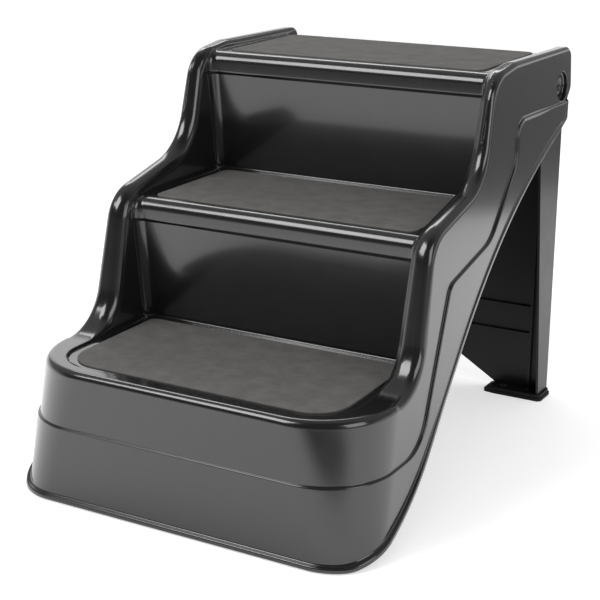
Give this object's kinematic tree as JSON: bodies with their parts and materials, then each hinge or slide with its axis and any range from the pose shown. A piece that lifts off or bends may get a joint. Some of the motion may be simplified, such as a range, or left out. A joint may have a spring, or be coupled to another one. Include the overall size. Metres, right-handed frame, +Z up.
{
  "type": "pet stairs",
  "caption": "Moulded plastic pet stairs with raised side rims, grippy tread mats and a rear leg that folds up under the treads.",
  "frame": {"origin": "centre of the footprint on the floor, midway between the front of the base flange and the rear edge of the side walls", "axes": "+Z up; +Y along the climb, from the bottom step to the top step and the rear leg; +X to the right for someone who climbs the stairs"},
  "size_m": [0.5094, 0.6599, 0.5099],
  "materials": {
    "shell": "glossy charcoal moulding",
    "leg": "glossy charcoal moulding",
    "tread_mat": "fine gritty non-slip surface",
    "rubber": "matte black rubber",
    "pin": "satin black moulding",
    "clip": "plain spring steel"
  },
  "bodies": {
    "stairs": {"stair_shell": "shell", "tread_mat_bottom": "tread_mat", "tread_mat_middle": "tread_mat", "tread_mat_top": "tread_mat", "hinge_pin_left": "pin", "hinge_pin_right": "pin", "pin_clip_left": "clip", "pin_clip_right": "clip", "base_foot_outer_left": "rubber", "base_foot_inner_left": "rubber", "base_foot_inner_right": "rubber", "base_foot_outer_right": "rubber"},
    "leg": {"rear_leg": "leg", "leg_foot_left": "rubber", "leg_foot_right": "rubber"}
  },
  "joints": [
    {"name": "leg_fold", "type": "hinge", "parent": "stairs", "child": "leg", "pos_m": [0, 0.294, 0.457], "axis": [-1, 0, 0], "range_deg": [0, 52]}
  ]
}
